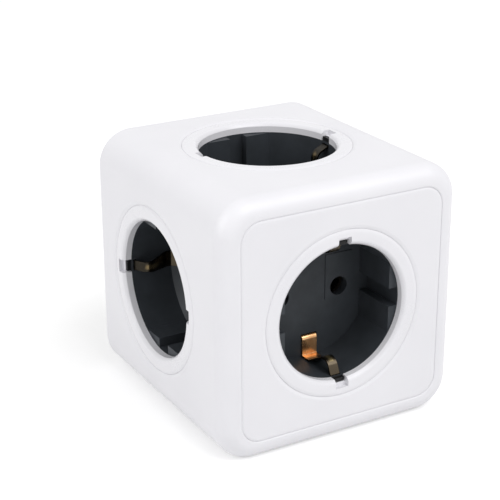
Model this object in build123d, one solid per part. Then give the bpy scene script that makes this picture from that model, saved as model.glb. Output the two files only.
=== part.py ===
from build123d import *
import os
from math import sqrt

# Plug-in adapter: a cube with five earthed sockets and an earthed plug on its back.
# Millimetres. The origin is the middle of the plug's face, where the two pins leave it.
# +Y runs out along the pins, +Z is up, and the front socket faces -Y.

# Cube housing
SIDE = 74.0  # width and height of the cube
DEPTH = 74.0  # from the seating face on the wall to the front
CORNER_RADIUS = 10.0  # the four long edges of the cube
FRONT_ROUND = 5.0  # edge between the front and the sides
BACK_ROUND = 0.8  # edge round the seating face
WALL = 3.0  # side walls
LEDGE = 1.2  # ledge round an opening that carries a socket's flange
LEDGE_COLLAR = 2.4  # how far the thickened wall reaches past an opening
EDGE_ROUND = 0.9  # soft edge of the panel and of the faces round the rings
EDGE_LIFT = 0.06  # a round edge runs out this far above the face

# Front panel set into the housing
PANEL_MARGIN = 0.7  # flat rim between the front round and the panel
PANEL_RADIUS = 6.0
PANEL_THICKNESS = 1.9
GROOVE = 0.06  # width of the fine groove round the panel and the rings

# Socket opening and its trim ring
OPENING_RADIUS = 19.5
RING_WIDTH = 4.5
RING_THICKNESS = 2.8
RING_LIP_ROUND = 0.6  # inner lip of the ring
RING_EDGE_ROUND = 1.2  # soft edge of the ring at the groove
NOTCH_WIDTH = 3.9  # clip notches in the ring
NOTCH_REACH = 2.4  # out from the opening
NOTCH_DEPTH = 1.5  # of the blind outer part
NOTCH_THROUGH = 1.3  # how far out the notch goes right through the ring

# Socket well
WELL_DEPTH = 17.5  # from the cube's face to the well's floor
WELL_WALL = 1.2
FLOOR = 1.5
KEEPER = 0.6  # thickness of the rim flange over the clips' tips
TAB_WIDTH = 3.0  # tab on the flange in each notch of the ring
TAB_HEIGHT = 1.3
TAB_GAP = 0.3  # from a tab to the end of its notch
FLAT_DEPTH = 2.9  # how far the flat on each side stands into the round
FLAT_SETBACK = 0.2  # the flats start this far below the ring
SLOT_WIDTH = 5.4  # slot in the middle of each flat
PIN_PITCH = 19.0  # between the two pins, in the sockets and on the plug
HOLE_RADIUS = 2.75  # pin holes in the floor
RECESS_DEPTH = 0.3  # shallow oblong recess round each pin hole
RECESS_SIDE = 4.4  # from the hole's middle to the recess's sides
RECESS_LOW = 3.3
RECESS_HIGH = 10.0
TUBE_COLLAR = 3.0  # height of the collar behind each pin hole
COLLAR_WALL = 1.2
WELL_GAP = 0.8  # between the front well and the side wells behind it
CORNER_GAP = 0.3  # between neighbouring side wells, measured along a face
CORNER_WALL = 1.2  # wall of the slanted corner under a side well
FIT = 0.1  # clearance between pieces that are pushed together

# Earth bow: one sprung strip with a clip on each side of the socket
STRIP_WIDTH = 4.8
CLIP_WIDTH = 3.0  # the clips taper to this
STRIP = 0.6  # thickness
STRIP_CLEARANCE = 0.2
CLIP_BULGE = 4.9  # how far the clip bulges into the round
CLIP_BULGE_DEPTH = 6.4  # depth of the bulge below the cube's face
CLIP_ROOT_RISE = 1.9  # from the slanted corner up to where the clip leaves the wall
CLIP_TIP = 0.9  # how far the clip's tip reaches under the ring
FOOT_LENGTH = 6.0  # stretch that lies on the floor
STRIP_BEND = 0.8
CLIP_CURVE = 2.4  # bend of the bulge
CLIP_ROOT_CURVE = 2.5  # bend where the clip leaves the wall

# Contact tubes and folded bus strips
TUBE_BORE = 2.45
TUBE_WALL = 0.8
TUBE_SLIT = 0.7
TUBE_SLIT_LENGTH = 7.0
TUBE_SETBACK = 1.6  # from the back of a well's floor to the tube's end
BUS = 1.0  # thickness of the live and neutral strips
BUS_WIDTH = 3.0
EYE_MARGIN = 1.8  # metal left round an eye
BUS_CLEARANCE = 1.25  # between a strip and the tube it passes
FLAP_GAP = 3.45  # from a strip's flaps to the back of a side well
PIN_FLAP = 11.0  # from the seating face to the strip's plug end
EARTH_PLATE = 6.2  # from the seating face to the earth frame
EARTH = 0.8  # thickness of the earth frame
LEG_OFFSET = 8.0  # upper and lower earth legs stand beside the pin tubes

# Back cover and screws
COVER = 3.0
SCREW_INSET = 5.5  # from the inside of the walls to a screw's axis
POST_RADIUS = 5.2
SCREW_RADIUS = 1.3
SCREW_LENGTH = 12.0
SCREW_HEAD_RADIUS = 2.8
SCREW_HEAD = 1.5
SCREW_SINK = 1.7  # depth of the head's recess
CROSS_SPAN = 3.4  # cross recess in the head
CROSS_WIDTH = 0.8
CROSS_DEPTH = 0.8

# Plug
PLUG_LENGTH = 17.5  # from the seating face to the plug's face
PLUG_RADIUS = 18.4
PLUG_FLAT = 16.2
PLUG_RIB_WIDTH = 4.8
PLUG_CAVITY = 14.5
PLUG_FACE = 3.0
PLUG_FLANGE = 2.0
PLUG_FLANGE_RADIUS = 21.0
PLUG_EDGE = 1.0
PIN_RADIUS = 2.4
PIN_LENGTH = 19.0
PIN_TIP = 2.0
PIN_SHANK = 3.2  # thicker stretch inside the plug
PIN_COLLAR = 4.0
PIN_COLLAR_HEIGHT = 1.2
PIN_TAIL = 1.9
PIN_RIVET = 2.9
PIN_RIVET_HEIGHT = 1.0
PIN_BOSS = 4.5
EARTH_PIN_OFFSET = 10.0  # from the plug's axis to its earth pin hole
EARTH_STRIP_WIDTH = 5.0
EARTH_STRIP = 0.8
EARTH_STRIP_HEIGHT = 17.3  # outer face of the strip, from the plug's axis
EARTH_HOOK = 2.4
EARTH_HOOK_SETBACK = 1.0  # plug face to the hooked end

# Worked out from the sizes above
HALF = SIDE / 2
PANEL_SIDE = SIDE - 2 * (FRONT_ROUND + PANEL_MARGIN)
SEAT = -PLUG_LENGTH
FRONT = SEAT - DEPTH
RING_RADIUS = OPENING_RADIUS + RING_WIDTH
TIP_TOP = RING_THICKNESS + KEEPER  # pocket for the clips' tips
FLANGE_SEAT = TIP_TOP + STRIP + 2 * STRIP_CLEARANCE
LEDGE_BACK = FLANGE_SEAT + LEDGE
WELL_OUT = OPENING_RADIUS + WELL_WALL
FLOOR_UNDER = WELL_DEPTH + FLOOR
CORE = HALF - FLOOR_UNDER  # plug axis to the back of a side well's floor
SIDE_Y = FRONT + FLOOR_UNDER + WELL_GAP + WELL_OUT  # middle of the side sockets
CORNER_CUT = max(WELL_OUT - CORE + CORNER_GAP, CORNER_GAP)
INNER_CUT = max(CORNER_CUT + sqrt(2) * CORNER_WALL - FLOOR - WELL_WALL, 0)
PIN_X = PIN_PITCH / 2
CLIP_REACH = OPENING_RADIUS - CLIP_BULGE
CLIP_TIP_RADIUS = OPENING_RADIUS + CLIP_TIP
CLIP_ROOT_DEPTH = WELL_DEPTH - INNER_CUT - CLIP_ROOT_RISE
FLAT_DISTANCE = OPENING_RADIUS - FLAT_DEPTH
FLAP_END = CORE - FLAP_GAP
LEG_TOP = CORE - STRIP  # the earth frame's legs lie against the bows
LEG_LOW = LEG_TOP - EARTH
EARTH_HOLE = (PIN_X + PIN_TAIL + LEG_LOW) / 2  # half-way between the pins' tails and the legs
EARTH_HALF = max(LEG_TOP, EARTH_STRIP_HEIGHT + FIT)  # reaches the legs and the plug's earth strips
TUBE_RADIUS = TUBE_BORE + TUBE_WALL
COLLAR_BORE = TUBE_RADIUS + FIT
SCREW_XZ = HALF - WALL - SCREW_INSET
UPRIGHT_LIVE_Y = SIDE_Y - PIN_X
UPRIGHT_NEUTRAL_Y = SIDE_Y + PIN_X
EARTH_Y = SEAT - EARTH_PLATE

SOCKETS = {
    "front": Plane(origin=(0, FRONT, 0), x_dir=(1, 0, 0), z_dir=(0, -1, 0)),
    "left": Plane(origin=(-HALF, SIDE_Y, 0), x_dir=(0, 0, 1), z_dir=(-1, 0, 0)),
    "right": Plane(origin=(HALF, SIDE_Y, 0), x_dir=(0, 0, 1), z_dir=(1, 0, 0)),
    "top": Plane(origin=(0, SIDE_Y, HALF), x_dir=(0, 1, 0), z_dir=(0, 0, 1)),
    "bottom": Plane(origin=(0, SIDE_Y, -HALF), x_dir=(0, 1, 0), z_dir=(0, 0, -1)),
}
SIDE_SOCKETS = [name for name in SOCKETS if name != "front"]
SCREW_PLACES = [(x, z) for x in (-SCREW_XZ, SCREW_XZ) for z in (-SCREW_XZ, SCREW_XZ)]


def slab(sketch, back, front):
    """A flat outline in X and Z, given depth from one Y to a lesser one."""
    plane = Plane(origin=(0, back, 0), x_dir=(1, 0, 0), z_dir=(0, -1, 0))
    return extrude(plane * sketch, amount=back - front)


def disc(radius, top, bottom):
    """A disc about a socket's axis, between two depths below the cube's face."""
    return Pos(0, 0, -top) * Cylinder(radius, bottom - top, align=(Align.CENTER, Align.CENTER, Align.MAX))


def block(low, high):
    """A block between two corners."""
    size = [b - a for a, b in zip(low, high)]
    return Pos(*low) * Box(*size, align=(Align.MIN, Align.MIN, Align.MIN))


def circles_at(shape, radius, height):
    """The circular edges of a radius that lie at a height on Z."""
    edges = shape.edges().filter_by(GeomType.CIRCLE)
    return [e for e in edges if abs(e.radius - radius) < 1e-4 and abs(e.center().Z - height) < 1e-4]


def housing_shell():
    """Moulded cube, open at the back, with stepped openings and four screw posts."""
    shell = slab(RectangleRounded(SIDE, SIDE, CORNER_RADIUS), SEAT, FRONT)
    shell = fillet(shell.faces().sort_by(Axis.Y)[0].edges(), FRONT_ROUND)
    shell = fillet(shell.faces().sort_by(Axis.Y)[-1].edges(), BACK_ROUND)
    inside = SIDE - 2 * WALL
    shell -= slab(RectangleRounded(inside, inside, CORNER_RADIUS - WALL), SEAT, FRONT + LEDGE_BACK)
    for turn in range(4):
        post = slab(post_outline(), SEAT - COVER, FRONT + LEDGE_BACK - LEDGE / 2)
        shell += Rot(0, 90 * turn, 0) * post
    for name in SIDE_SOCKETS:
        shell += SOCKETS[name] * disc(RING_RADIUS + LEDGE_COLLAR, WALL / 2, LEDGE_BACK)
    for plane in SOCKETS.values():
        shell -= plane * opening_cut()
    shell -= panel_cut()
    for x, z in SCREW_PLACES:
        shell -= slab(Pos(x, z) * Circle(SCREW_RADIUS + FIT), SEAT, SEAT - COVER - SCREW_LENGTH)
    return shell


def post_outline():
    """Screw post that fills one inner corner of the housing, round on its inner side."""
    to_wall = SCREW_INSET + WALL / 2
    post = Pos(SCREW_XZ, SCREW_XZ) * Circle(POST_RADIUS)
    web = Rectangle(to_wall, POST_RADIUS + to_wall, align=(Align.MIN, Align.MAX))
    post += Pos(SCREW_XZ, SCREW_XZ + to_wall) * web
    web = Rectangle(POST_RADIUS + to_wall, to_wall, align=(Align.MAX, Align.MIN))
    post += Pos(SCREW_XZ + to_wall, SCREW_XZ) * web
    side = SIDE - WALL
    return post & RectangleRounded(side, side, CORNER_RADIUS - WALL / 2)


def opening_cut():
    """What a socket takes out of the wall: a soft-edged seat for the ring, and a hole for the well."""
    seat = RING_RADIUS + GROOVE
    hole = WELL_OUT + STRIP_CLEARANCE
    edge = EDGE_ROUND + EDGE_LIFT
    mouth = seat + edge
    below = [(seat, -EDGE_ROUND), (seat, -FLANGE_SEAT), (hole, -FLANGE_SEAT), (hole, -FLOOR_UNDER)]
    profile = Polyline(*below, (0, -FLOOR_UNDER), (0, WALL), (mouth, WALL), (mouth, EDGE_LIFT))
    profile += RadiusArc((mouth, EDGE_LIFT), (seat, -EDGE_ROUND), edge)
    return revolve(Plane.XZ * make_face(profile), Axis.Z)


def panel_cut():
    """Recess for the front panel, with the fine groove round it."""
    side = PANEL_SIDE + 2 * GROOVE
    radius = PANEL_RADIUS + GROOVE
    return slab(RectangleRounded(side, side, radius), FRONT + PANEL_THICKNESS, FRONT - WALL)


def front_panel():
    """Rounded square plate round the front socket's ring."""
    panel = slab(RectangleRounded(PANEL_SIDE, PANEL_SIDE, PANEL_RADIUS), FRONT + PANEL_THICKNESS, FRONT)
    panel = fillet(panel.faces().sort_by(Axis.Y)[0].edges(), EDGE_ROUND)
    return panel - SOCKETS["front"] * opening_cut()


def trim_ring():
    """White ring round an opening, with soft edges and two stepped notches over the clips."""
    ring = disc(RING_RADIUS, 0, RING_THICKNESS) - disc(OPENING_RADIUS, -WALL, RING_THICKNESS + WALL)
    ring = fillet(circles_at(ring, OPENING_RADIUS, 0), RING_LIP_ROUND)
    ring = fillet(circles_at(ring, RING_RADIUS, 0), RING_EDGE_ROUND)
    half = NOTCH_WIDTH / 2
    for reach, depth in ((NOTCH_REACH, NOTCH_DEPTH), (NOTCH_THROUGH, RING_THICKNESS)):
        out = OPENING_RADIUS + reach
        ring -= block((-half, -out, -depth), (half, out, 0))
    return ring


def well_cavity(inner_cut):
    """The space inside a well: round, with a slotted flat on each side and a recess round each pin hole."""
    top = RING_THICKNESS
    cavity = disc(OPENING_RADIUS, top, WELL_DEPTH)
    if inner_cut > 0:
        cavity = chamfer(circles_at(cavity, OPENING_RADIUS, -WELL_DEPTH), inner_cut)
    flats_top = -(top + FLAT_SETBACK)
    keep = block((-FLAT_DISTANCE, -WELL_OUT, -FLOOR_UNDER), (FLAT_DISTANCE, WELL_OUT, 0))
    keep += block((-WELL_OUT, -SLOT_WIDTH / 2, -FLOOR_UNDER), (WELL_OUT, SLOT_WIDTH / 2, 0))
    keep += block((-WELL_OUT, -WELL_OUT, flats_top), (WELL_OUT, WELL_OUT, 0))
    low = -WELL_DEPTH - RECESS_DEPTH
    recess = block((-RECESS_SIDE, -RECESS_LOW, low), (RECESS_SIDE, RECESS_HIGH, -WELL_DEPTH))
    return (cavity & keep) + Pos(-PIN_X, 0) * recess + Pos(PIN_X, 0) * recess


def foot_radius(inner_cut):
    """Radius at which the bow's foot drops through the floor."""
    return OPENING_RADIUS - STRIP_CLEARANCE - inner_cut - FOOT_LENGTH


def socket_well(outer_cut, inner_cut):
    """Dark cup: a rim flange with two tabs, pin holes with collars behind them, slots for the earth bow."""
    body = disc(WELL_OUT, RING_THICKNESS, FLOOR_UNDER)
    if outer_cut > 0:
        body = chamfer(circles_at(body, WELL_OUT, -FLOOR_UNDER), outer_cut)
    body += disc(RING_RADIUS, RING_THICKNESS, FLANGE_SEAT)
    body -= well_cavity(inner_cut)
    collar_end = FLOOR_UNDER + TUBE_COLLAR
    for x in (-PIN_X, PIN_X):
        body += Pos(x, 0) * disc(COLLAR_BORE + COLLAR_WALL, FLOOR_UNDER - FLOOR / 2, collar_end)
        body -= Pos(x, 0) * disc(COLLAR_BORE, FLOOR_UNDER, collar_end)
        body -= Pos(x, 0) * disc(HOLE_RADIUS, WELL_DEPTH - WALL, FLOOR_UNDER)
    half = STRIP_WIDTH / 2 + STRIP_CLEARANCE
    foot = foot_radius(inner_cut)
    slot_low = foot - STRIP - STRIP_CLEARANCE
    slot_high = foot + STRIP_BEND + FIT
    slot = block((-half, slot_low, -FLOOR_UNDER), (half, slot_high, -WELL_DEPTH))
    half = CLIP_WIDTH / 2 + STRIP_CLEARANCE
    tip = CLIP_TIP_RADIUS + 2 * STRIP_CLEARANCE
    pocket = block((-half, OPENING_RADIUS - WALL, -FLANGE_SEAT), (half, tip, -TIP_TOP))
    tab_end = OPENING_RADIUS + NOTCH_THROUGH - TAB_GAP
    tab_top = -RING_THICKNESS + TAB_HEIGHT
    tab = block((-TAB_WIDTH / 2, OPENING_RADIUS, -TIP_TOP), (TAB_WIDTH / 2, tab_end, tab_top))
    for turn in (0, 180):
        body -= Rot(0, 0, turn) * (slot + pocket)
        body += Rot(0, 0, turn) * tab
    return body


def earth_bow(inner_cut):
    """Sprung strip: tapered clips that bulge into the well, feet on its floor, a bridge behind it."""
    wall = OPENING_RADIUS - STRIP_CLEARANCE
    foot = foot_radius(inner_cut)
    tip_depth = FLANGE_SEAT - STRIP_CLEARANCE
    corner = [(wall, WELL_DEPTH)]
    if inner_cut > STRIP_BEND * (2 - sqrt(2)):  # a smaller slant is cleared by one bend
        corner = [(wall, WELL_DEPTH - inner_cut), (wall - inner_cut, WELL_DEPTH)]
    side = [
        (CLIP_TIP_RADIUS, tip_depth),
        (OPENING_RADIUS, tip_depth),
        (CLIP_REACH + STRIP, CLIP_BULGE_DEPTH),
        (wall, CLIP_ROOT_DEPTH),
        *corner,
        (foot, WELL_DEPTH),
        (foot, FLOOR_UNDER + STRIP),
    ]
    radii = [STRIP_BEND, CLIP_CURVE, CLIP_ROOT_CURVE] + [STRIP_BEND] * (len(corner) + 2)
    route = [(y, -depth) for y, depth in side] + [(-y, -depth) for y, depth in reversed(side)]
    path = FilletPolyline(*route, radius=radii + radii[::-1])
    outline = offset(path, amount=STRIP, side=Side.RIGHT)
    strip = extrude(Plane.YZ * make_face(outline), amount=STRIP_WIDTH / 2, both=True)
    wide = STRIP_WIDTH / 2
    narrow = CLIP_WIDTH / 2
    bottom = -FLOOR_UNDER - STRIP
    edge = [(wide, bottom), (wide, -CLIP_ROOT_DEPTH), (narrow, -CLIP_BULGE_DEPTH), (narrow, 0)]
    taper = Polygon(*edge, *[(-x, z) for x, z in reversed(edge)], align=None)
    return strip & extrude(Plane.XZ * taper, amount=WELL_OUT, both=True)


def contact_tube(length, ends):
    """Slit brass tube along Z that grips a pin at one end or at both."""
    tube = Cylinder(TUBE_RADIUS, length) - Cylinder(TUBE_BORE, length)
    slit = Box(TUBE_SLIT, 2 * TUBE_RADIUS, TUBE_SLIT_LENGTH)
    for end in ends:
        tube -= Pos(0, 0, end * (length - TUBE_SLIT_LENGTH) / 2) * slit
    return tube


def plate_with_eye(low, high, eye, radius, normal):
    """A flat flap between two corners, with an eye through it."""
    turn = {"x": Rot(0, 90, 0), "y": Rot(90, 0, 0), "z": Rot(0, 0, 0)}[normal]
    return block(low, high) - Pos(*eye) * turn * Cylinder(radius, SIDE)


def pole_bus(upright_y):
    """Folded strip that joins one pole's three tubes to its plug pin, for the pole at +X."""
    eye = TUBE_RADIUS + EYE_MARGIN
    tail_eye = PIN_TAIL + EYE_MARGIN
    x0 = PIN_X - BUS_WIDTH / 2
    z0 = TUBE_RADIUS + BUS_CLEARANCE
    z1 = z0 + BUS_WIDTH
    hole = TUBE_RADIUS + FIT
    front_y = FRONT + FLOOR_UNDER + TUBE_COLLAR + STRIP_CLEARANCE
    pin_y = SEAT - PIN_FLAP
    side_flap = plate_with_eye(
        (x0, SIDE_Y - eye, z0), (x0 + BUS, SIDE_Y + eye, FLAP_END), (x0, SIDE_Y, PIN_X), hole, "x"
    )
    spine = block((x0, front_y, z0), (x0 + BUS, pin_y, z1))
    spine -= Pos(x0, SIDE_Y, PIN_X) * Rot(0, 90, 0) * Cylinder(hole, SIDE)
    upright_flap = plate_with_eye(
        (-eye, upright_y - eye, z0), (x0 + BUS, upright_y + eye, z0 + BUS), (0, upright_y, z0), hole, "z"
    )
    front_flap = plate_with_eye(
        (PIN_X - eye, front_y, -eye), (FLAP_END, front_y + BUS, eye), (PIN_X, front_y, 0), hole, "y"
    )
    front_flap += block((x0, front_y, eye - BUS), (FLAP_END, front_y + BUS, z1))
    pin_flap = plate_with_eye(
        (PIN_X - tail_eye, pin_y - BUS, -tail_eye),
        (FLAP_END, pin_y, tail_eye),
        (PIN_X, pin_y, 0),
        PIN_TAIL + FIT,
        "y",
    )
    pin_flap += block((x0, pin_y - BUS, tail_eye - BUS), (FLAP_END, pin_y, z1))
    return side_flap + spine + upright_flap + front_flap + pin_flap


def earth_bus():
    """Folded frame with a leg to each earth bow and an eye for the plug's earth sleeve."""
    half = STRIP_WIDTH / 2
    front = EARTH_Y - EARTH
    frame = slab(Rectangle(2 * EARTH_HALF, 2 * EARTH_HALF) - Circle(EARTH_HOLE), EARTH_Y, front)
    eye = TUBE_RADIUS + EYE_MARGIN
    frame += block((-eye, front, EARTH_PIN_OFFSET - eye), (eye, EARTH_Y, EARTH_HALF))
    frame -= Pos(0, front, EARTH_PIN_OFFSET) * Rot(90, 0, 0) * Cylinder(TUBE_RADIUS + FIT, PLUG_LENGTH)
    leg_end = SIDE_Y + half
    side_leg = block((LEG_LOW, leg_end, -half), (LEG_TOP, EARTH_Y, half))
    upright_leg = block((LEG_OFFSET - half, SIDE_Y - half, LEG_LOW), (LEG_OFFSET + half, EARTH_Y, LEG_TOP))
    for turn in (0, 180):
        frame += Rot(0, turn, 0) * (side_leg + upright_leg)
    bridge_y = FRONT + FLOOR_UNDER + STRIP
    foot = foot_radius(0)
    frame += block((LEG_OFFSET - half, bridge_y, LEG_LOW), (LEG_OFFSET + half, SIDE_Y, LEG_TOP))
    frame += block((-half, bridge_y, foot - STRIP_WIDTH), (LEG_OFFSET + half, bridge_y + EARTH, LEG_TOP))
    return frame


def back_cover():
    """Plate that closes the cube, with a hole for the plug and four sunk screw holes."""
    side = SIDE - 2 * WALL - 2 * FIT
    cover = slab(RectangleRounded(side, side, CORNER_RADIUS - WALL - FIT), SEAT, SEAT - COVER)
    cover -= slab(Circle(PLUG_RADIUS + FIT), SEAT, SEAT - COVER)
    for x, z in SCREW_PLACES:
        cover -= slab(Pos(x, z) * Circle(SCREW_RADIUS + STRIP_CLEARANCE), SEAT, SEAT - COVER)
        cover -= slab(Pos(x, z) * Circle(SCREW_HEAD_RADIUS + STRIP_CLEARANCE), SEAT, SEAT - SCREW_SINK)
    for name in SIDE_SOCKETS:
        cover -= SOCKETS[name] * disc(RING_RADIUS + LEDGE_COLLAR + FIT, 0, LEDGE_BACK + FIT)
    return cover


def cover_screw():
    """Pan-head screw with a cross recess, its head facing +Z at the bottom of the cover's recess."""
    below = COVER - SCREW_SINK + SCREW_LENGTH
    shank = Cylinder(SCREW_RADIUS, below, align=(Align.CENTER, Align.CENTER, Align.MAX))
    head = Cylinder(SCREW_HEAD_RADIUS, SCREW_HEAD, align=(Align.CENTER, Align.CENTER, Align.MIN))
    head = fillet(circles_at(head, SCREW_HEAD_RADIUS, SCREW_HEAD), SCREW_HEAD / 2)
    arm = Box(CROSS_SPAN, CROSS_WIDTH, 2 * CROSS_DEPTH)
    cross = Pos(0, 0, SCREW_HEAD) * (arm + Rot(0, 0, 90) * arm)
    return head + shank - cross


def cover_screws():
    """The four screws, sunk in the cover and driven into the housing's posts."""
    facing = Plane(origin=(0, SEAT - SCREW_SINK, 0), x_dir=(1, 0, 0), z_dir=(0, 1, 0))
    return Compound(children=[facing * Pos(x, z) * cover_screw() for x, z in SCREW_PLACES])


def plug_outline():
    """Round plug section with a flat and a guide rib on each side."""
    flat = Circle(PLUG_RADIUS) & Rectangle(2 * PLUG_FLAT, 2 * PLUG_RADIUS)
    rib = Circle(PLUG_RADIUS) & Rectangle(2 * PLUG_RADIUS, PLUG_RIB_WIDTH)
    return flat + rib


def plug_body():
    """Hollow plug moulding: a flange behind the cover, pin bosses, grooves for the earth strips."""
    flange_back = SEAT - COVER - PLUG_FLANGE
    body = slab(plug_outline(), 0, SEAT - COVER)
    body = chamfer(body.faces().sort_by(Axis.Y)[-1].edges(), PLUG_EDGE)
    body += slab(Circle(PLUG_FLANGE_RADIUS), SEAT - COVER, flange_back)
    body -= slab(Circle(PLUG_CAVITY), -PLUG_FACE, flange_back)
    for x in (-PIN_X, PIN_X):
        body += slab(Pos(x, 0) * Circle(PIN_BOSS), -PLUG_FACE / 2, SEAT)
        body -= slab(Pos(x, 0) * Circle(PIN_SHANK + FIT), 0, SEAT)
    sleeve = Pos(0, EARTH_PIN_OFFSET)
    body += slab(sleeve * Circle(COLLAR_BORE + COLLAR_WALL), -PLUG_FACE / 2, SEAT)
    body -= slab(sleeve * Circle(COLLAR_BORE), -PLUG_FACE, SEAT)
    body -= slab(sleeve * Circle(HOLE_RADIUS), 0, -PLUG_FACE)
    half = EARTH_STRIP_WIDTH / 2 + STRIP_CLEARANCE
    floor = EARTH_STRIP_HEIGHT - EARTH_STRIP
    hook_front = -EARTH_HOOK_SETBACK - EARTH_STRIP - 2 * STRIP_CLEARANCE
    hook_floor = EARTH_STRIP_HEIGHT - EARTH_HOOK - STRIP_CLEARANCE
    groove = block((-half, flange_back, floor), (half, -EARTH_HOOK_SETBACK, PLUG_RADIUS))
    groove += block((-half, hook_front, hook_floor), (half, -EARTH_HOOK_SETBACK, PLUG_RADIUS))
    return body - groove - Rot(0, 180, 0) * groove


def plug_pin():
    """Round pin on the Y axis: a rounded end, a shank in the plug, a collar and a riveted tail."""
    collar_y = SEAT - PIN_COLLAR_HEIGHT
    rivet_y = SEAT - PIN_FLAP - BUS
    pin = slab(Circle(PIN_RADIUS), PIN_LENGTH, 0)
    pin = fillet(pin.faces().sort_by(Axis.Y)[-1].edges(), PIN_TIP)
    pin += slab(Circle(PIN_SHANK), 0, SEAT)
    pin += slab(Circle(PIN_COLLAR), SEAT, collar_y)
    pin += slab(Circle(PIN_TAIL), collar_y, rivet_y)
    return pin + slab(Circle(PIN_RIVET), rivet_y, rivet_y - PIN_RIVET_HEIGHT)


def plug_earth_strip():
    """The plug's upper earth contact: a strip along the plug with a hooked end in its face."""
    half = EARTH_STRIP_WIDTH / 2
    end = -EARTH_HOOK_SETBACK - STRIP_CLEARANCE
    top = EARTH_STRIP_HEIGHT
    strip = block((-half, EARTH_Y, top - EARTH_STRIP), (half, end, top))
    strip += block((-half, end - EARTH_STRIP, top - EARTH_HOOK), (half, end, top))
    bend = strip.edges().filter_by(Axis.X).sort_by(lambda e: e.center().Y + e.center().Z)[-1]
    return fillet(bend, EARTH_STRIP)


def tubes():
    """All contact tubes, by node name."""
    along_x = Rot(0, 90, 0)
    along_y = Rot(90, 0, 0)
    across = 2 * (CORE - TUBE_SETBACK)
    front_length = PIN_LENGTH - FLOOR
    front_y = FRONT + FLOOR_UNDER + TUBE_SETBACK + front_length / 2
    found = {}
    for pole, sign in (("live", 1), ("neutral", -1)):
        front = contact_tube(front_length, (1,))
        found[f"contact_tube_{pole}_front"] = Pos(sign * PIN_X, front_y, 0) * along_y * front
        double = contact_tube(across, (-1, 1))
        found[f"contact_tube_{pole}_sides"] = Pos(0, SIDE_Y, sign * PIN_X) * along_x * double
        upright_y = UPRIGHT_LIVE_Y if pole == "live" else UPRIGHT_NEUTRAL_Y
        found[f"contact_tube_{pole}_upright"] = Pos(0, upright_y, 0) * double
    sleeve_length = EARTH_PLATE + EARTH + PLUG_LENGTH - PLUG_FACE
    sleeve = contact_tube(sleeve_length, (-1,))
    sleeve_y = -PLUG_FACE - sleeve_length / 2
    found["plug_earth_sleeve"] = Pos(0, sleeve_y, EARTH_PIN_OFFSET) * along_y * sleeve
    return found


def build():
    """Every piece of the adapter, by node name."""
    nodes = {
        "housing_shell": housing_shell(),
        "front_panel": front_panel(),
        "back_cover": back_cover(),
        "cover_screws": cover_screws(),
        "plug_body": plug_body(),
        "plug_pin_live": Pos(PIN_X, 0, 0) * plug_pin(),
        "plug_pin_neutral": Pos(-PIN_X, 0, 0) * plug_pin(),
        "plug_earth_strip_top": plug_earth_strip(),
        "plug_earth_strip_bottom": Rot(0, 180, 0) * plug_earth_strip(),
        "live_bus": pole_bus(UPRIGHT_LIVE_Y),
        "neutral_bus": Rot(0, 180, 0) * pole_bus(UPRIGHT_NEUTRAL_Y),
        "earth_bus": earth_bus(),
    }
    for name, plane in SOCKETS.items():
        outer_cut, inner_cut = (0, 0) if name == "front" else (CORNER_CUT, INNER_CUT)
        nodes[f"trim_ring_{name}"] = plane * trim_ring()
        nodes[f"socket_well_{name}"] = plane * socket_well(outer_cut, inner_cut)
        nodes[f"earth_bow_{name}"] = plane * earth_bow(inner_cut)
    nodes.update(tubes())
    return nodes


os.makedirs("parts", exist_ok=True)
for node, shape in build().items():
    shape.label = node
    export_step(shape, f"parts/{node}.step")
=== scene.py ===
from math import radians

import bmesh
import bpy
from mathutils import Matrix, Vector


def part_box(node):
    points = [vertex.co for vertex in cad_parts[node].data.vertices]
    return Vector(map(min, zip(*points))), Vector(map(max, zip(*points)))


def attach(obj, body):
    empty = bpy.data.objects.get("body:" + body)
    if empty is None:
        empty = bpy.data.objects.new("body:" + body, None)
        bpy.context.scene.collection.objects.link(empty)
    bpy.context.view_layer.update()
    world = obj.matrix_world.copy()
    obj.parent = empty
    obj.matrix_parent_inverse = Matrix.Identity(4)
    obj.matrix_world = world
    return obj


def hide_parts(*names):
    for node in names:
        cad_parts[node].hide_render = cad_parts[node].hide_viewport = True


# Cube adapter with five earthed sockets and an earthed plug, on a pale floor.
# Metres. +Y runs out along the plug's pins, +Z is up, and the front socket faces -Y.

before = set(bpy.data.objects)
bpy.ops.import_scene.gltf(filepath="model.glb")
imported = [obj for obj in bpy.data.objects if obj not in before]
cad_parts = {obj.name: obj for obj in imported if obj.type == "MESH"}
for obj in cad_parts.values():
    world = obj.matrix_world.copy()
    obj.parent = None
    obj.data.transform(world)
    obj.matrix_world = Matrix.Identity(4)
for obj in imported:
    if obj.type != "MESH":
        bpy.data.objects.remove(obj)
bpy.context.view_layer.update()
HOUSING_LOW, HOUSING_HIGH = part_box("housing_shell")
MIDDLE = (HOUSING_LOW + HOUSING_HIGH) / 2
RING_LOW, RING_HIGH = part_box("trim_ring_front")
RING_RADIUS = (RING_HIGH.x - RING_LOW.x) / 2
PANEL_LOW, PANEL_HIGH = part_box("front_panel")
PANEL_HALF = (PANEL_HIGH.x - PANEL_LOW.x) / 2

MM = 0.001
MERGE = 1e-7  # corners nearer than this are one
FLAT = radians(0.5)  # faces that meet at less than this are one
SHARP = radians(22)  # edges sharper than this aren't shaded as one surface

# Sockets: the axis across the face that each is in, and which way it faces
FACES = {"front": (1, -1), "left": (0, -1), "right": (0, 1), "top": (2, 1), "bottom": (2, -1)}

# Camera
CAMERA_PLACE = Vector((-0.1914, -0.3765, 0.1546))
CAMERA_AIM = Vector((-0.0046, -0.0491, 0.0049))
CAMERA_ROLL = radians(-0.24)
CAMERA_LENS = 101.2  # millimetres, on a sensor 36 mm wide
CAMERA_NEAR = 0.01

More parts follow.
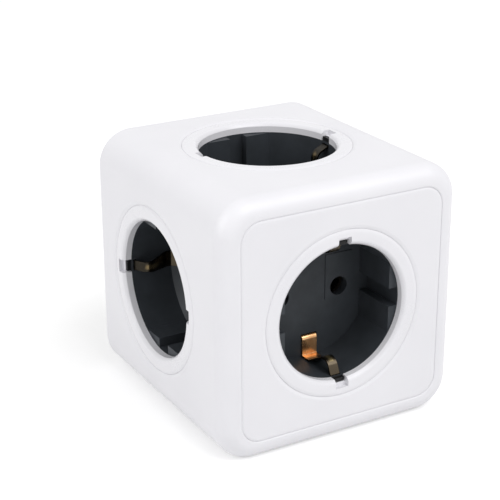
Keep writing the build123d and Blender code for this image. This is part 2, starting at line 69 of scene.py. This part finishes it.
# Light
WHITE_LIGHT = (1, 1, 1, 1)
DOME_STRENGTH = 0.60
KEY_POWER = 9.4
KEY_PLACE = MIDDLE + Vector((0.33, -0.80, 1.08))
KEY_SIZE = 1.0
LEFT_POWER = 2.1
LEFT_PLACE = MIDDLE + Vector((-0.81, 0.0, 0.39))
LEFT_SIZE = 0.6
FLOOR_COLOUR = (0.80, 0.80, 0.80, 1)
FLOOR_ROUGH = 0.9
FLOOR_LIFT = 0.38  # brings the lit floor up to the white of the backdrop
FLOOR_REACH = 3.0

# Grooves: the solids' roundings beside them, and the shallower ones that the photograph shows
GROOVE = 0.06 * MM
SEAT_ROUND = 0.626 * MM  # width of the rounding of a face round a ring
RING_ROUND = 1.2 * MM
LIP_ROUND = 0.6 * MM  # inner edge of a ring
OPENING_RADIUS = 19.5 * MM
PANEL_ROUND = 0.9 * MM
PANEL_RADIUS = 6.0 * MM
RIM_ROUND = 0.5 * MM  # put on the sharp rim round the panel
RIM_STEPS = 4
RIM_PROFILE = 0.5  # part of a circle
SEAT_SLOPE = (1.3 * MM, 0.30 * MM)  # width and drop
RING_SLOPE = (1.2 * MM, 0.30 * MM)
LIP_SLOPE = (1.3 * MM, 1.0 * MM)
PANEL_SLOPE = (0.9 * MM, 0.24 * MM)
RIM_SLOPE = (0.5 * MM, 0.20 * MM)
ROUND_DEPTH = 1.25 * MM  # the roundings lie above this depth
SLACK = 0.02 * MM  # points nearer than this to a form lie on it

# Wells: the floor round the pin holes is sunk in the solids, and raised in the photograph
SUNK_DEPTH = 17.8 * MM  # below the cube's face
RAISED_DEPTH = 17.25 * MM
NOTCH_SHADE_DEPTHS = (2.75 * MM, 2.55 * MM)  # the tabs in the rings' notches lie above this, and are painted black there as shade

# Earth strips: where their painted light changes (a foot painted bright, painted shade up the wall
# and at the clips' tips, a painted highlight line), by depth below the cube's face and by distance
# from the strip's middle
BOW_EDGE = 0.12 * MM  # rounding of the strip's own edges
BOW_EDGE_STEPS = 2
BOW_EDGE_ANGLE = radians(40)  # edges sharper than this are rounded
FOOT_DEPTHS = (14.0 * MM, 15.5 * MM)
CLIP_ROOT_DEPTHS = (10.5 * MM, 8.5 * MM)
CLIP_TIP_DEPTHS = (5.2 * MM, 6.4 * MM)
# Painted highlight: full this near the strip's middle, gone past the wider distance
HIGHLIGHT_HALVES = (0.95 * MM, 0.30 * MM)
DEPTH_WANDER = 0.8 * MM  # how far the tarnish shifts the depths

# Cover screws
SCREW_HEAD_RADIUS = 2.8 * MM
SCREW_HEAD_HEIGHT = 1.5 * MM
SCREW_HEAD_SIDE = 0.45  # share of the head's height below its rounding
SCREW_HEAD_CROWN = 1.1 * MM  # width of the rounding between the head's side and its top
SCREW_CORE_RADIUS = 1.05 * MM
SCREW_THREAD_RADIUS = 1.34 * MM
SCREW_THREAD_PITCH = 1.1 * MM
SCREW_CROSS_SPAN = 3.4 * MM
SCREW_CROSS_WIDTH = 0.75 * MM
SCREW_CROSS_DEPTH = 0.8 * MM
SCREW_TURN = radians(90)  # each is turned by up to this
SCREW_SEED = 5
SCREW_MERGE = 10 * MERGE
AROUND = 40  # points round a screw
CROWN_POINTS = 6
THREAD_CORNERS = 3

# Finishes: sizes of what varies over a surface, the part of the noise's range that it fills, and
# depths of its relief
WHITE_CLOUDS = 22 * MM
WHITE_CLOUD_RANGE = (0.3, 0.7)
WHITE_GRAIN = 0.28 * MM
SHELL_RELIEF = 0.006 * MM
RING_RELIEF = 0.003 * MM
DARK_CLOUDS = 7 * MM
DARK_CLOUD_RANGE = (0.35, 0.65)
DARK_GRAIN = 0.22 * MM
DARK_RELIEF = 0.012 * MM
TARNISH = 4.5 * MM
TARNISH_RANGE = (0.42, 0.72)
ROLLED_LINES = 0.12 * MM
ROLLED_RELIEF = 0.004 * MM
ALONG_Z = (1, 1, 30)  # how far lines are drawn out along each axis
ROUND_Y = (30, 1, 30)
TUBE_STRETCH = (4, 4, 4)
SCREW_STRETCH = (6, 6, 6)
DETAIL = 3  # octaves of noise
PATCH_DETAIL = 4
MID_NOISE = 0.5

# Gloss and roughness, and how far the grain and then the patches change the roughness
WHITE_SPECULAR = 0.5
DARK_SPECULAR = 0.25
SHELL_ROUGH = 0.36
RING_ROUGH = 0.26
SOCKET_ROUGH = 0.42
PLUG_ROUGH = 0.50
STRIP_ROUGH = 0.24
TUBE_ROUGH = 0.40
PIN_ROUGH = 0.20
SCREW_ROUGH = 0.34
WHITE_SWINGS = (0.06, 0.05)
DARK_SWINGS = (0.10, 0.06)
ROLLED_SWINGS = (0.14, 0.12)
SPRUNG_SWINGS = (0.12, 0.10)

# Colours. The shaded copies are darker, painted shade, for the strips that aren't in the front
# socket
WHITE = (0.842, 0.836, 0.868, 1)
WHITE_SHADE = (0.817, 0.811, 0.845, 1)
DARK = (0.043, 0.049, 0.057, 1)
DARK_SHADE = (0.034, 0.039, 0.045, 1)
# Painted shade: near black on the tabs in the rings' notches
NOTCH_PAINTED_SHADE = (0.008, 0.008, 0.009, 1)
BRASS = (0.80, 0.58, 0.28, 1)
BRASS_TARNISH = (0.60, 0.36, 0.13, 1)
# Painted highlight along each clip, and painted shade with a dark reflection up the wall and at the
# tips
BRASS_PAINTED_HIGHLIGHT = (0.50, 0.39, 0.19, 1)
BRASS_PAINTED_SHADE = (0.085, 0.068, 0.048, 1)
# The foot's copper tone, painted bright as where the strip is lit
COPPER = (0.82, 0.49, 0.25, 1)
COPPER_TARNISH = (0.55, 0.28, 0.12, 1)
# Painted shade: darker copies of the front strip's highlight, foot and shade
SHADED_COPY_HIGHLIGHT = (0.27, 0.20, 0.10, 1)
SHADED_COPY_FOOT = (0.080, 0.064, 0.043, 1)
SHADED_COPY_DARK = (0.030, 0.026, 0.020, 1)
TUBE = (0.060, 0.050, 0.040, 1)
TUBE_SHADE = (0.035, 0.030, 0.025, 1)
NICKEL = (0.70, 0.68, 0.64, 1)
NICKEL_SHADE = (0.56, 0.54, 0.50, 1)
ZINC = (0.58, 0.59, 0.60, 1)
ZINC_SHADE = (0.42, 0.42, 0.42, 1)


class Value:
    """What comes out of a node. Arithmetic on it adds Math nodes."""

    def __init__(self, nodes, socket):
        self.nodes = nodes
        self.socket = socket

    def math(self, operation, first, second):
        return self.nodes.node("ShaderNodeMath", {"operation": operation}, {0: first, 1: second})

    def __add__(self, other):
        return self.math("ADD", self, other)

    def __sub__(self, other):
        return self.math("SUBTRACT", self, other)

    def __rsub__(self, other):
        return self.math("SUBTRACT", other, self)

    def __mul__(self, other):
        return self.math("MULTIPLY", self, other)

    def __abs__(self):
        return self.math("ABSOLUTE", self, 0.0)

    __radd__ = __add__
    __rmul__ = __mul__


class Nodes:
    """A node tree that is added to node by node."""

    def __init__(self, tree):
        self.tree = tree

    def node(self, kind, settings, sockets, output=0):
        """Add a node of a type: its settings first, then its sockets' values or links."""
        made = self.tree.nodes.new(kind)
        for name, value in settings.items():
            setattr(made, name, value)
        for name, value in sockets.items():
            self.feed(made.inputs[name], value)
        return Value(self, made.outputs[output])

    def feed(self, socket, value):
        """Link a value, or each of a list of them, to a socket, or set the socket to a constant."""
        for one in value if isinstance(value, list) else [value]:
            if isinstance(one, Value):
                self.tree.links.new(one.socket, socket)
            else:
                socket.default_value = one

    def extreme(self, operation, values):
        """The smallest or largest of several values."""
        found = values[0]
        for value in values[1:]:
            found = found.math(operation, found, value)
        return found

    def seen_directly(self):
        """1 for rays that see a thing as it is: from the camera, in gloss or through glass."""
        kinds = ("Is Camera Ray", "Is Glossy Ray", "Is Transmission Ray")
        rays = [self.node("ShaderNodeLightPath", {}, {}, kind) for kind in kinds]
        return self.extreme("MAXIMUM", rays)

    def switched(self, lighting, seen):
        """One shader for rays that light other things, and another where it is seen directly."""
        return self.node("ShaderNodeMixShader", {}, {0: self.seen_directly(), 1: lighting, 2: seen})


class Finish(Nodes):
    """A material: a Principled shader and the nodes that feed it."""

    def __init__(self, name, constants):
        self.material = bpy.data.materials.new(name)
        self.material.use_nodes = True
        super().__init__(self.material.node_tree)
        self.shader = self.tree.nodes["Principled BSDF"]
        for socket, value in constants.items():
            self.surface(socket, value)

    def surface(self, name, value):
        self.feed(self.shader.inputs[name], value)

    def place(self):
        return self.node("ShaderNodeTexCoord", {}, {}, "Object")

    def coordinates(self):
        """The three coordinates of a point of the part."""
        place = self.place()
        return [self.node("ShaderNodeSeparateXYZ", {}, {0: place}, axis) for axis in range(3)]

    def noise(self, size, detail, stretch=(1, 1, 1)):
        """Noise from 0 to 1 with features of about a size, drawn out along an axis by a stretch."""
        scale = tuple(1 / (size * drawn) for drawn in stretch)
        place = self.node("ShaderNodeMapping", {}, {"Vector": self.place(), "Scale": scale})
        settings = {"Vector": place, "Scale": 1.0, "Detail": detail}
        return self.node("ShaderNodeTexNoise", {}, settings)

    def mixed(self, first, second, share):
        """A colour between two, by a share from 0 to 1."""
        return self.node("ShaderNodeMix", {"data_type": "RGBA"}, {0: share, 6: first, 7: second}, 2)

    def spread(self, value, low, high):
        """Stretch the range from low to high over 0 to 1."""
        ends = {"Value": value, "From Min": low, "From Max": high}
        return self.node("ShaderNodeMapRange", {}, ends)

    def below_face(self):
        """Depth below the nearest of the cube's faces."""
        x, y, z = self.coordinates()
        half = HOUSING_HIGH.x
        return self.extreme("MINIMUM", [y - HOUSING_LOW.y, half - abs(x), half - abs(z)])

    def off_middle(self):
        """Distance from the nearest plane that halves a socket's earth strip."""
        x, y, z = self.coordinates()
        return self.extreme("MINIMUM", [abs(x), abs(z), abs(y - socket_middle("top").y)])

    def tarnish(self):
        """Patches of tarnish, from 0 to 1."""
        return self.spread(self.noise(TARNISH, PATCH_DETAIL), *TARNISH_RANGE)

    def roughen(self, base, grain, patches, swings):
        """Roughness that grain and patches change."""
        self.surface("Roughness", base + swings[0] * grain + swings[1] * patches)

    def relief(self, height, depth):
        """Bump of a real depth."""
        bump = self.node("ShaderNodeBump", {}, {"Height": height, "Distance": depth})
        self.surface("Normal", bump)


class Layout(Nodes):
    """A Geometry Nodes tree with named sizes."""

    def __init__(self, name):
        super().__init__(bpy.data.node_groups.new(name, "GeometryNodeTree"))
        self.end("Geometry", "OUTPUT", "NodeSocketGeometry")
        self.group = self.tree.nodes.new("NodeGroupInput")
        self.sizes = {}

    def end(self, name, way, kind):
        """A socket of the whole tree."""
        return self.tree.interface.new_socket(name, in_out=way, socket_type=kind)

    def size(self, name, value):
        """A named number that the tree takes in."""
        self.sizes[self.end(name, "INPUT", "NodeSocketFloat").identifier] = value
        return Value(self, self.group.outputs[name])

    def point(self, x=0.0, y=0.0, z=0.0):
        return self.node("ShaderNodeCombineXYZ", {}, {0: x, 1: y, 2: z})

    def joined(self, parts):
        return self.node("GeometryNodeJoinGeometry", {}, {0: parts})

    def moved(self, part, place):
        return self.node("GeometryNodeTransform", {}, {"Geometry": part, "Translation": place})

    def line(self, start, end):
        return self.node("GeometryNodeCurvePrimitiveLine", {}, {"Start": start, "End": end})

    def circle(self, points, radius):
        size = {"Resolution": points, "Radius": radius}
        return self.node("GeometryNodeCurvePrimitiveCircle", {}, size)

    def swept(self, curve, profile, capped):
        ends = {"Curve": curve, "Profile Curve": profile, "Fill Caps": capped}
        return self.node("GeometryNodeCurveToMesh", {}, ends)

    def piece(self, name, result, material):
        """Run the tree on an empty mesh and keep what it makes as a plain mesh."""
        real = self.node("GeometryNodeRealizeInstances", {}, {0: result})
        done = self.node("GeometryNodeSetMaterial", {}, {"Geometry": real, "Material": material})
        self.feed(self.tree.nodes.new("NodeGroupOutput").inputs[0], done)
        piece = placed(name, bpy.data.meshes.new(name + "_base"))
        modifier = piece.modifiers.new("layout", "NODES")
        modifier.node_group = self.tree
        for identifier, value in self.sizes.items():
            modifier[identifier] = value
        evaluated = piece.evaluated_get(bpy.context.evaluated_depsgraph_get())
        mesh = bpy.data.meshes.new_from_object(evaluated)
        piece.modifiers.clear()
        piece.data = mesh
        mesh.shade_smooth()
        mesh.set_sharp_from_angle(angle=SHARP)
        return piece


def placed(name, data):
    """A new object in the scene, at the origin."""
    made = bpy.data.objects.new(name, data)
    bpy.context.scene.collection.objects.link(made)
    return made


def stands_for(piece, node):
    """Let a piece take a node's place."""
    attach(piece, "root")
    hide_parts(node)


def socket_middle(side):
    """Middle of a socket's ring."""
    low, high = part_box("trim_ring_" + side)
    return (low + high) / 2


def merged_copy(name):
    """A copy of a node's mesh with its split corners joined, and its material."""
    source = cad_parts[name].data
    made = bmesh.new()
    made.from_mesh(source)
    bmesh.ops.remove_doubles(made, verts=made.verts, dist=MERGE)
    return made, source.materials[0]


def without_flat_edges(made):
    """Join the faces of a copy that lie in one plane."""
    bmesh.ops.dissolve_limit(made, angle_limit=FLAT, verts=made.verts, edges=made.edges)


def kept(made, name, material):
    """Turn an edited copy into an object, without the normals of the shape it had."""
    for face in made.faces:
        face.smooth = True
    mesh = bpy.data.meshes.new(name)
    made.to_mesh(mesh)
    made.free()
    old_normals = mesh.attributes.get("custom_normal")
    if old_normals:
        mesh.attributes.remove(old_normals)
    mesh.materials.append(material)
    return placed(name, mesh)


def softened_bow(side):
    """A copy of an earth strip with its edges rounded."""
    name = "earth_bow_" + side
    made, material = merged_copy(name)
    without_flat_edges(made)
    piece = kept(made, name + "_soft", material)
    edge = piece.modifiers.new("edge", "BEVEL")
    edge.width = BOW_EDGE
    edge.segments = BOW_EDGE_STEPS
    edge.limit_method = "ANGLE"
    edge.angle_limit = BOW_EDGE_ANGLE
    edge.harden_normals = True
    stands_for(piece, name)


class Face:
    """A face of the cube with a socket in it."""

    def __init__(self, side):
        self.axis, self.way = FACES[side]
        self.level = (HOUSING_HIGH if self.way > 0 else HOUSING_LOW)[self.axis]

    def depth(self, point):
        """How far a point lies below the face."""
        return self.way * (self.level - point[self.axis])

    def sink(self, point, depth):
        """Move a point to a depth below the face."""
        point[self.axis] = self.level - self.way * depth


class Groove(Face):
    """The edge of a face beside a groove, and the shallow slope that takes the rounding's place."""

    def __init__(self, side, from_wall, rounding, slope):
        super().__init__(side)
        self.middle = socket_middle(side)
        self.from_wall = from_wall
        self.rounding = rounding
        self.width, self.drop = slope

    def measured(self, point):
        """Distance of a point from the groove's wall, and the way off the wall."""
        off = point - self.middle
        off[self.axis] = 0
        return self.from_wall(off)

    def on_edge(self, point):
        """Whether a point lies on the sharp edge between the face and the wall."""
        distance, _ = self.measured(point)
        return max(abs(self.depth(point)), abs(distance)) < SLACK

    def ease(self, point):
        """Move a point of the rounding onto the slope."""
        distance, off_wall = self.measured(point)
        if self.depth(point) > ROUND_DEPTH or not -SLACK < distance < self.rounding + SLACK:
            return
        share = min(max(distance / self.rounding, 0), 1)
        point += off_wall * share * (self.width - self.rounding)
        self.sink(point, self.drop * (1 - share) ** 2)


def seat_wall(off):
    """How far out from a ring's seat a point lies, and the way out."""
    return off.length - RING_RADIUS - GROOVE, off.normalized()


def ring_wall(off):
    """How far in from a ring's outer wall a point lies, and the way in."""
    return RING_RADIUS - off.length, -off.normalized()


def lip_wall(off):
    """How far out from an opening's wall a point lies, and the way out."""
    return off.length - OPENING_RADIUS, off.normalized()


def panel_wall(off):
    """How far in from the panel's outline a point lies, and no way in: the slope is as wide as the
    rounding, so points are only moved in depth."""
    straight = PANEL_HALF - PANEL_RADIUS
    past = Vector((max(abs(off.x) - straight, 0), max(abs(off.z) - straight, 0)))
    short = min(max(abs(off.x), abs(off.z)) - straight, 0)
    return PANEL_RADIUS - past.length - short, Vector()


def rim_wall(off):
    """How far out from the recess for the panel a point lies, and no way out, as for the panel."""
    return -panel_wall(off)[0] - GROOVE, Vector()


class Pad(Face):
    """The floor of a well round its pin holes."""

    def ease(self, point):
        """Move a point of the sunk floor onto the raised one."""
        if abs(self.depth(point) - SUNK_DEPTH) < SLACK:
            self.sink(point, RAISED_DEPTH)


def round_off(made, groove):
    """Give a copy a rounding where it has a sharp edge at a groove."""
    without_flat_edges(made)
    edges = [edge for edge in made.edges if all(groove.on_edge(end.co) for end in edge.verts)]
    shape = {"offset": groove.rounding, "segments": RIM_STEPS, "profile": RIM_PROFILE}
    bmesh.ops.bevel(made, geom=edges, affect="EDGES", **shape)


def eased(name, forms, sharp=None):
    """A copy of a piece whose finer forms follow the photograph, also where its edge was sharp."""
    made, material = merged_copy(name)
    if sharp:
        round_off(made, sharp)
    for corner in made.verts:
        for form in forms:
            form.ease(corner.co)
    piece = kept(made, name + "_eased", material)
    piece.data.set_sharp_from_angle(angle=SHARP)
    shading = piece.modifiers.new("flats", "WEIGHTED_NORMAL")
    shading.keep_sharp = True
    stands_for(piece, name)


def screw_head(tree, height):
    """Turned head on the Z axis, its seat at 0, with a cross cut into it."""
    radius = tree.size("Head Radius", SCREW_HEAD_RADIUS)
    crown = tree.size("Head Crown", SCREW_HEAD_CROWN)
    span = tree.size("Cross Span", SCREW_CROSS_SPAN)
    width = tree.size("Cross Width", SCREW_CROSS_WIDTH)
    depth = tree.size("Cross Depth", SCREW_CROSS_DEPTH)
    side = height * SCREW_HEAD_SIDE

    def at(out, up):
        """A point of the profile, which turns upside down as it is carried round the circle."""
        return tree.point(out - radius, 0.0 - up)

    bend = {
        "Resolution": CROWN_POINTS,
        "Start": at(radius, side),
        "Middle": at(radius, height),
        "End": at(radius - crown, height),
    }
    profile = [
        tree.line(at(0.0, 0.0), at(radius, 0.0)),
        tree.line(at(radius, 0.0), at(radius, side)),
        tree.node("GeometryNodeCurveQuadraticBezier", {}, bend),
        tree.line(at(radius - crown, height), at(0.0, height)),
    ]
    turned = tree.swept(tree.circle(AROUND, radius), tree.joined(profile), False)
    joints = {"Geometry": turned, "Distance": SCREW_MERGE}
    whole = tree.node("GeometryNodeMergeByDistance", {}, joints)
    whole = tree.node("GeometryNodeFlipFaces", {}, {0: whole})
    arms = []
    for size in (tree.point(span, width, 2.0 * depth), tree.point(width, span, 2.0 * depth)):
        arm = tree.node("GeometryNodeMeshCube", {}, {"Size": size})
        arms.append(tree.moved(arm, tree.point(z=height)))
    exact = {"operation": "DIFFERENCE", "solver": "EXACT"}
    return tree.node("GeometryNodeMeshBoolean", exact, {"Mesh 1": whole, "Mesh 2": arms})


def screw_shank(tree, shank_length):
    """Shank below the head's seat, and the ridge that winds round it."""
    core = tree.size("Core Radius", SCREW_CORE_RADIUS)
    ridge = tree.size("Thread Radius", SCREW_THREAD_RADIUS) - core
    turns = tree.size("Thread Turns", shank_length / SCREW_THREAD_PITCH)
    length = tree.size("Length", shank_length)
    rod = {"Vertices": AROUND, "Radius": core, "Depth": length}
    rod = tree.node("GeometryNodeMeshCylinder", {}, rod)
    spiral = {
        "Resolution": AROUND,
        "Rotations": turns,
        "Start Radius": core,
        "End Radius": core,
        "Height": length - 2.0 * ridge,
    }
    spiral = tree.node("GeometryNodeCurveSpiral", {}, spiral)
    thread = tree.swept(spiral, tree.circle(THREAD_CORNERS, ridge), True)
    return [
        tree.moved(rod, tree.point(z=-0.5 * length)),
        tree.moved(thread, tree.point(z=ridge - length)),
    ]


def cover_screws(material):
    """The cover's four screws: one threaded screw made by Geometry Nodes, set out on a square."""
    low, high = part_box("cover_screws")
    tree = Layout("screw_layout")
    height = tree.size("Head Height", SCREW_HEAD_HEIGHT)
    spacing = tree.size("Spacing", high.x - low.x - 2 * SCREW_HEAD_RADIUS)
    shank = screw_shank(tree, high.y - low.y - SCREW_HEAD_HEIGHT)
    screw = tree.joined([screw_head(tree, height), *shank])
    square = {"Size X": spacing, "Size Y": spacing, "Vertices X": 2, "Vertices Y": 2}
    corners = tree.node("GeometryNodeMeshGrid", {}, square)
    turn = {"Max": SCREW_TURN, "Seed": SCREW_SEED}
    turn = tree.node("FunctionNodeRandomValue", {}, turn, "Value")
    set_out = {"Points": corners, "Instance": screw, "Rotation": tree.point(z=turn)}
    facing = {
        "Geometry": tree.node("GeometryNodeInstanceOnPoints", {}, set_out),
        "Translation": (0, high.y - SCREW_HEAD_HEIGHT, 0),
        "Rotation": (radians(-90), 0, 0),
    }
    return tree.piece("screws", tree.node("GeometryNodeTransform", {}, facing), material)


def white_plastic(name, roughness, relief):
    """Moulded white plastic with a fine grain from its tool."""
    finish = Finish(name, {"Specular IOR Level": WHITE_SPECULAR})
    clouds = finish.spread(finish.noise(WHITE_CLOUDS, DETAIL), *WHITE_CLOUD_RANGE)
    finish.surface("Base Color", finish.mixed(WHITE, WHITE_SHADE, clouds))
    fine = finish.noise(WHITE_GRAIN, DETAIL)
    finish.roughen(roughness, fine - MID_NOISE, clouds - MID_NOISE, WHITE_SWINGS)
    finish.relief(fine, relief)
    return finish.material


def dark_plastic(name, roughness):
    """Anthracite moulding with a slight mottle, and painted shade that turns the tabs in the rings'
    notches black.
    """
    finish = Finish(name, {"Specular IOR Level": DARK_SPECULAR})
    clouds = finish.spread(finish.noise(DARK_CLOUDS, PATCH_DETAIL), *DARK_CLOUD_RANGE)
    mottled = finish.mixed(DARK, DARK_SHADE, clouds)
    # Painted shade: the tabs in the rings' notches go black, as if in shadow
    notch_shade = finish.spread(finish.below_face(), *NOTCH_SHADE_DEPTHS)
    finish.surface("Base Color", finish.mixed(mottled, NOTCH_PAINTED_SHADE, notch_shade))
    fine = finish.noise(DARK_GRAIN, DETAIL)
    finish.roughen(roughness, fine - MID_NOISE, clouds - MID_NOISE, DARK_SWINGS)
    finish.relief(fine, DARK_RELIEF)
    return finish.material


def rolled_metal(name, colour, tarnish, roughness, stretch):
    """Rolled or turned metal: fine lines one way, and patches of tarnish."""
    finish = Finish(name, {"Metallic": 1.0})
    patches = finish.tarnish()
    finish.surface("Base Color", finish.mixed(colour, tarnish, patches))
    lines = finish.noise(ROLLED_LINES, DETAIL, stretch)
    finish.roughen(roughness, lines - MID_NOISE, patches, ROLLED_SWINGS)
    finish.relief(lines, ROLLED_RELIEF)
    return finish.material


def sprung_brass(name, highlight_colour, shade_colour, foot_colour, foot_tarnish_and_shade):
    """Sprung strip: a coppery foot painted bright as lit, painted shade up the wall and at the
    clips' tips, and a painted highlight along the middle of each clip.
    """
    finish = Finish(name, {"Metallic": 1.0})
    patches = finish.tarnish()
    lines = finish.noise(ROLLED_LINES, DETAIL, ALONG_Z)
    depth = finish.below_face() + DEPTH_WANDER * (patches - MID_NOISE)
    # Painted light by depth: the foot bright, painted shade up the wall and at the clips' tips
    foot = finish.spread(depth, *FOOT_DEPTHS)
    clip = finish.spread(depth, *CLIP_ROOT_DEPTHS) * finish.spread(depth, *CLIP_TIP_DEPTHS)
    # Painted highlight along the middle of each clip
    highlight_line = clip * finish.spread(finish.off_middle(), *HIGHLIGHT_HALVES)
    metal = finish.mixed(shade_colour, highlight_colour, highlight_line)
    copper = finish.mixed(foot_colour, foot_tarnish_and_shade, patches)
    finish.surface("Base Color", finish.mixed(metal, copper, foot))
    finish.roughen(STRIP_ROUGH, lines - MID_NOISE, patches, SPRUNG_SWINGS)
    finish.relief(lines, ROLLED_RELIEF)
    return finish.material


def dress_nodes():
    """Give every piece of the part its finish."""
    shell = white_plastic("white_shell", SHELL_ROUGH, SHELL_RELIEF)
    ring = white_plastic("white_ring", RING_ROUGH, RING_RELIEF)
    dark = dark_plastic("anthracite_socket", SOCKET_ROUGH)
    plug = dark_plastic("anthracite_plug", PLUG_ROUGH)
    bow = sprung_brass("sprung_brass", BRASS_PAINTED_HIGHLIGHT, BRASS_PAINTED_SHADE, COPPER, COPPER_TARNISH)
    # Painted shade: a darker copy of the strip's finish for the sockets other than the front one
    shaded_bow = sprung_brass("dull_sprung_brass", SHADED_COPY_HIGHLIGHT, SHADED_COPY_DARK, SHADED_COPY_FOOT, SHADED_COPY_DARK)
    strip = rolled_metal("brass_strip", BRASS, BRASS_TARNISH, STRIP_ROUGH, ALONG_Z)
    tube = rolled_metal("dark_contact", TUBE, TUBE_SHADE, TUBE_ROUGH, TUBE_STRETCH)
    pin = rolled_metal("nickel_pin", NICKEL, NICKEL_SHADE, PIN_ROUGH, ROUND_Y)
    # By how a node's name starts: the first that fits is taken
    finishes = {
        "housing_shell": shell,
        "front_panel": shell,
        "back_cover": shell,
        "plug_body": plug,
        "plug_pin": pin,
        "plug_earth_strip": pin,
        "trim_ring": ring,
        "socket_well": dark,
        "earth_bow_front": bow,
        "earth_bow": shaded_bow,
        "contact_tube": tube,
    }
    for name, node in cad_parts.items():
        chosen = [finish for start, finish in finishes.items() if name.startswith(start)]
        node.data.materials.clear()
        node.data.materials.append(chosen[0] if chosen else strip)


def aimed(place, aim):
    """Stand at a place and face a point."""
    return Matrix.Translation(place) @ (aim - place).to_track_quat("-Z", "Y").to_matrix().to_4x4()


def place_camera():
    """Camera at the photograph's place, aimed at the cube."""
    camera = placed("camera", bpy.data.cameras.new("camera"))
    camera.matrix_world = aimed(CAMERA_PLACE, CAMERA_AIM) @ Matrix.Rotation(CAMERA_ROLL, 4, "Z")
    camera.data.lens = CAMERA_LENS
    camera.data.clip_start = CAMERA_NEAR
    bpy.context.scene.camera = camera


def light_dome():
    """White backdrop, and an even dome of softer light."""
    world = bpy.data.worlds.new("dome")
    world.use_nodes = True
    bpy.context.scene.world = world
    nodes = Nodes(world.node_tree)
    dome = nodes.node("ShaderNodeBackground", {}, {"Color": WHITE_LIGHT, "Strength": DOME_STRENGTH})
    backdrop = nodes.node("ShaderNodeBackground", {}, {"Color": WHITE_LIGHT, "Strength": 1.0})
    output = world.node_tree.nodes["World Output"]
    nodes.feed(output.inputs["Surface"], nodes.switched(dome, backdrop))


def soft_box(name, place, size, power):
    """A square lamp that faces the cube."""
    lamp = placed(name, bpy.data.lights.new(name, "AREA"))
    lamp.data.size = size
    lamp.data.energy = power
    lamp.matrix_world = aimed(place, MIDDLE)


def lay_floor():
    """Pale floor under the cube that keeps the shadow and is lifted to white where it is seen."""
    ways = ((-1, -1), (1, -1), (1, 1), (-1, 1))
    corners = [(x * FLOOR_REACH, y * FLOOR_REACH, HOUSING_LOW.z) for x, y in ways]
    mesh = bpy.data.meshes.new("floor")
    mesh.from_pydata(corners, [], [(0, 1, 2, 3)])
    dull = {"Base Color": FLOOR_COLOUR, "Roughness": FLOOR_ROUGH, "Specular IOR Level": 0.0}
    finish = Finish("pale_floor", dull)
    unlit = finish.node("ShaderNodeEmission", {}, {"Strength": 0.0})
    lift = finish.node("ShaderNodeEmission", {}, {"Strength": FLOOR_LIFT})
    lit = Value(finish, finish.shader.outputs[0])
    both = finish.node("ShaderNodeAddShader", {}, {0: lit, 1: finish.switched(unlit, lift)})
    finish.feed(finish.tree.nodes["Material Output"].inputs["Surface"], both)
    mesh.materials.append(finish.material)
    placed("floor", mesh)


dress_nodes()
seats = {side: Groove(side, seat_wall, SEAT_ROUND, SEAT_SLOPE) for side in FACES}
edge = Groove("front", panel_wall, PANEL_ROUND, PANEL_SLOPE)
rim = Groove("front", rim_wall, RIM_ROUND, RIM_SLOPE)
eased("front_panel", [seats.pop("front"), edge])
eased("housing_shell", [rim, *seats.values()], rim)
for side in FACES:
    outer = Groove(side, ring_wall, RING_ROUND, RING_SLOPE)
    lip = Groove(side, lip_wall, LIP_ROUND, LIP_SLOPE)
    eased("trim_ring_" + side, [outer, lip])
    eased("socket_well_" + side, [Pad(side)])
    softened_bow(side)
zinc = rolled_metal("zinc_screw", ZINC, ZINC_SHADE, SCREW_ROUGH, SCREW_STRETCH)
stands_for(cover_screws(zinc), "cover_screws")
place_camera()
light_dome()
soft_box("key_lamp", KEY_PLACE, KEY_SIZE, KEY_POWER)
soft_box("left_lamp", LEFT_PLACE, LEFT_SIZE, LEFT_POWER)
lay_floor()
bpy.context.scene.view_settings.view_transform = "Standard"
